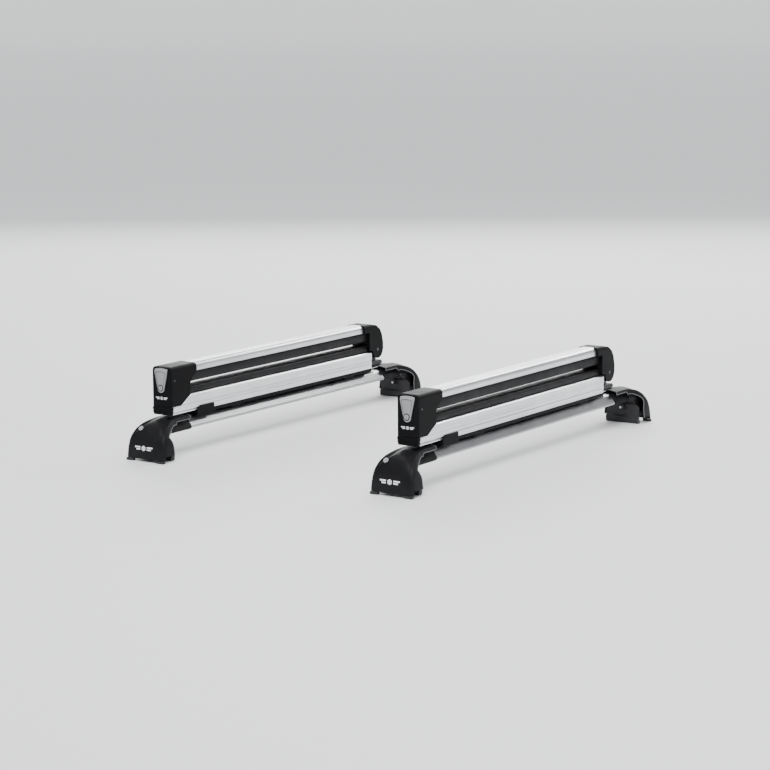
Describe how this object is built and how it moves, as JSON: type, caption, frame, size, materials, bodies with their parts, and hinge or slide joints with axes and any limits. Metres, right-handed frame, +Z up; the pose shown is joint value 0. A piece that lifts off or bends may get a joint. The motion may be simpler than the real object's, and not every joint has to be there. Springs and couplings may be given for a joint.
{
  "type": "roof ski rack",
  "caption": "Roof ski rack: slide-out padded carriers with hinged clamp arms and push-button latches on aero roof bars with lockable rail feet.",
  "frame": {"origin": "centre of the rack at the height of its lowest claws", "axes": "+X towards the front of the vehicle, +Y towards its left side along the bars, +Z up"},
  "size_m": [0.8154, 1.1, 0.217],
  "materials": {
    "silver_aluminium": "satin anodised, extruded",
    "black_plastic": "satin, fine grain",
    "cover_plastic": "satin, fine grain",
    "black_casting": "matt powder coat",
    "black_rubber": "matt",
    "pad_rubber": "soft satin",
    "button_plastic": "satin",
    "lock_plug": "satin",
    "lock_metal": "satin",
    "steel": "zinc plated"
  },
  "bodies": {
    "root": {"front_roof_bar": "silver_aluminium", "rear_roof_bar": "silver_aluminium", "track_strips": "black_rubber", "front_base_rail": "silver_aluminium", "rear_base_rail": "silver_aluminium", "guide_blocks": "black_plastic", "rail_trays": "black_plastic", "mount_bolts": "steel", "mount_nuts": "steel", "right_foot_frames": "black_casting", "left_foot_frames": "black_casting", "foot_pads": "black_rubber", "bar_collars": "black_rubber"},
    "front_slider": {"front_slider": "silver_aluminium", "front_lower_pad": "pad_rubber", "front_slider_grip": "black_plastic", "front_latch_keeper": "steel", "front_hinge_bracket": "black_casting", "front_hinge_pin": "steel"},
    "front_arm": {"front_upper_arm": "silver_aluminium", "front_upper_pad": "pad_rubber", "front_latch_housing": "black_plastic", "front_hinge_cap": "black_plastic", "front_button_spring": "steel"},
    "front_push_button": {"front_push_button": "button_plastic"},
    "front_lock_cylinder": {"front_lock_cylinder": "lock_metal"},
    "front_latch_pawl": {"front_latch_pawl": "steel"},
    "front_slide_catch": {"front_slide_catch": "black_plastic"},
    "front_right_foot_cover": {"front_right_foot_cover": "cover_plastic"},
    "front_right_foot_lock": {"front_right_foot_lock": "lock_plug"},
    "front_right_clamp_hook": {"front_right_clamp_hook": "black_casting"},
    "front_right_clamp_bolt": {"front_right_clamp_bolt": "steel"},
    "front_left_foot_cover": {"front_left_foot_cover": "cover_plastic"},
    "front_left_foot_lock": {"front_left_foot_lock": "lock_plug"},
    "front_left_clamp_hook": {"front_left_clamp_hook": "black_casting"},
    "front_left_clamp_bolt": {"front_left_clamp_bolt": "steel"},
    "rear_slider": {"rear_slider": "silver_aluminium", "rear_lower_pad": "pad_rubber", "rear_slider_grip": "black_plastic", "rear_latch_keeper": "steel", "rear_hinge_bracket": "black_casting", "rear_hinge_pin": "steel"},
    "rear_arm": {"rear_upper_arm": "silver_aluminium", "rear_upper_pad": "pad_rubber", "rear_latch_housing": "black_plastic", "rear_hinge_cap": "black_plastic", "rear_button_spring": "steel"},
    "rear_push_button": {"rear_push_button": "button_plastic"},
    "rear_lock_cylinder": {"rear_lock_cylinder": "lock_metal"},
    "rear_latch_pawl": {"rear_latch_pawl": "steel"},
    "rear_slide_catch": {"rear_slide_catch": "black_plastic"},
    "rear_right_foot_cover": {"rear_right_foot_cover": "cover_plastic"},
    "rear_right_foot_lock": {"rear_right_foot_lock": "lock_plug"},
    "rear_right_clamp_hook": {"rear_right_clamp_hook": "black_casting"},
    "rear_right_clamp_bolt": {"rear_right_clamp_bolt": "steel"},
    "rear_left_foot_cover": {"rear_left_foot_cover": "cover_plastic"},
    "rear_left_foot_lock": {"rear_left_foot_lock": "lock_plug"},
    "rear_left_clamp_hook": {"rear_left_clamp_hook": "black_casting"},
    "rear_left_clamp_bolt": {"rear_left_clamp_bolt": "steel"}
  },
  "joints": [
    {"name": "front_slide_out", "type": "slide", "parent": "root", "child": "front_slider", "axis": [0, -1, 0], "range_m": [0, 0.4]},
    {"name": "front_arm_hinge", "type": "hinge", "parent": "front_slider", "child": "front_arm", "pos_m": [0.35, 0.378, 0.148], "axis": [-1, 0, 0], "range_deg": [0, 80]},
    {"name": "front_button_press", "type": "slide", "parent": "front_arm", "child": "front_push_button", "axis": [0, 1, 0], "range_m": [0, 0.005], "stiffness_N_per_m": 600, "springref_m": -0.003, "deforming": ["front_button_spring"]},
    {"name": "front_lock_turn", "type": "hinge", "parent": "front_push_button", "child": "front_lock_cylinder", "pos_m": [0.35, -0.48, 0.167], "axis": [0, -1, 0], "range_deg": [0, 90]},
    {"name": "front_pawl_swing", "type": "hinge", "parent": "front_arm", "child": "front_latch_pawl", "pos_m": [0.35, -0.467, 0.184], "axis": [1, 0, 0], "range_deg": [0, 15]},
    {"name": "front_catch_press", "type": "hinge", "parent": "root", "child": "front_slide_catch", "pos_m": [0.35, -0.36, 0.096], "axis": [1, 0, 0], "range_deg": [0, 7], "stiffness_Nm_per_rad": 1.5, "springref_deg": -5.73},
    {"name": "front_right_cover_pull", "type": "slide", "parent": "root", "child": "front_right_foot_cover", "axis": [0, -1, 0], "range_m": [0, 0.08]},
    {"name": "front_right_foot_lock_turn", "type": "hinge", "parent": "front_right_foot_cover", "child": "front_right_foot_lock", "pos_m": [0.324, -0.5297, 0.0753], "axis": [0, -0.7266, 0.6871], "range_deg": [0, 90]},
    {"name": "front_right_clamp_turn", "type": "hinge", "parent": "root", "child": "front_right_clamp_bolt", "pos_m": [0.35, -0.52, 0.04], "axis": [0, -1, 0], "range_deg": [0, 2160]},
    {"name": "front_right_clamp_slide", "type": "slide", "parent": "root", "child": "front_right_clamp_hook", "axis": [0, 1, 0], "range_m": [0, 0.006]},
    {"name": "front_left_cover_pull", "type": "slide", "parent": "root", "child": "front_left_foot_cover", "axis": [0, 1, 0], "range_m": [0, 0.08]},
    {"name": "front_left_foot_lock_turn", "type": "hinge", "parent": "front_left_foot_cover", "child": "front_left_foot_lock", "pos_m": [0.324, 0.5297, 0.0753], "axis": [0, -0.7266, -0.6871], "range_deg": [0, 90]},
    {"name": "front_left_clamp_turn", "type": "hinge", "parent": "root", "child": "front_left_clamp_bolt", "pos_m": [0.35, 0.52, 0.04], "axis": [0, 1, 0], "range_deg": [0, 2160]},
    {"name": "front_left_clamp_slide", "type": "slide", "parent": "root", "child": "front_left_clamp_hook", "axis": [0, -1, 0], "range_m": [0, 0.006]},
    {"name": "rear_slide_out", "type": "slide", "parent": "root", "child": "rear_slider", "axis": [0, -1, 0], "range_m": [0, 0.4]},
    {"name": "rear_arm_hinge", "type": "hinge", "parent": "rear_slider", "child": "rear_arm", "pos_m": [-0.35, 0.378, 0.148], "axis": [-1, 0, 0], "range_deg": [0, 80]},
    {"name": "rear_button_press", "type": "slide", "parent": "rear_arm", "child": "rear_push_button", "axis": [0, 1, 0], "range_m": [0, 0.005], "stiffness_N_per_m": 600, "springref_m": -0.003, "deforming": ["rear_button_spring"]},
    {"name": "rear_lock_turn", "type": "hinge", "parent": "rear_push_button", "child": "rear_lock_cylinder", "pos_m": [-0.35, -0.48, 0.167], "axis": [0, -1, 0], "range_deg": [0, 90]},
    {"name": "rear_pawl_swing", "type": "hinge", "parent": "rear_arm", "child": "rear_latch_pawl", "pos_m": [-0.35, -0.467, 0.184], "axis": [1, 0, 0], "range_deg": [0, 15]},
    {"name": "rear_catch_press", "type": "hinge", "parent": "root", "child": "rear_slide_catch", "pos_m": [-0.35, -0.36, 0.096], "axis": [1, 0, 0], "range_deg": [0, 7], "stiffness_Nm_per_rad": 1.5, "springref_deg": -5.73},
    {"name": "rear_right_cover_pull", "type": "slide", "parent": "root", "child": "rear_right_foot_cover", "axis": [0, -1, 0], "range_m": [0, 0.08]},
    {"name": "rear_right_foot_lock_turn", "type": "hinge", "parent": "rear_right_foot_cover", "child": "rear_right_foot_lock", "pos_m": [-0.376, -0.5297, 0.0753], "axis": [0, -0.7266, 0.6871], "range_deg": [0, 90]},
    {"name": "rear_right_clamp_turn", "type": "hinge", "parent": "root", "child": "rear_right_clamp_bolt", "pos_m": [-0.35, -0.52, 0.04], "axis": [0, -1, 0], "range_deg": [0, 2160]},
    {"name": "rear_right_clamp_slide", "type": "slide", "parent": "root", "child": "rear_right_clamp_hook", "axis": [0, 1, 0], "range_m": [0, 0.006]},
    {"name": "rear_left_cover_pull", "type": "slide", "parent": "root", "child": "rear_left_foot_cover", "axis": [0, 1, 0], "range_m": [0, 0.08]},
    {"name": "rear_left_foot_lock_turn", "type": "hinge", "parent": "rear_left_foot_cover", "child": "rear_left_foot_lock", "pos_m": [-0.376, 0.5297, 0.0753], "axis": [0, -0.7266, -0.6871], "range_deg": [0, 90]},
    {"name": "rear_left_clamp_turn", "type": "hinge", "parent": "root", "child": "rear_left_clamp_bolt", "pos_m": [-0.35, 0.52, 0.04], "axis": [0, 1, 0], "range_deg": [0, 2160]},
    {"name": "rear_left_clamp_slide", "type": "slide", "parent": "root", "child": "rear_left_clamp_hook", "axis": [0, -1, 0], "range_m": [0, 0.006]}
  ],
  "couplings": [
    {"joint": "front_pawl_swing", "follows": "front_button_press", "rad_per_m": 52.36},
    {"joint": "front_right_clamp_turn", "follows": "front_right_clamp_slide", "rad_per_m": 6283.2},
    {"joint": "front_left_clamp_turn", "follows": "front_left_clamp_slide", "rad_per_m": 6283.2},
    {"joint": "rear_pawl_swing", "follows": "rear_button_press", "rad_per_m": 52.36},
    {"joint": "rear_right_clamp_turn", "follows": "rear_right_clamp_slide", "rad_per_m": 6283.2},
    {"joint": "rear_left_clamp_turn", "follows": "rear_left_clamp_slide", "rad_per_m": 6283.2}
  ]
}
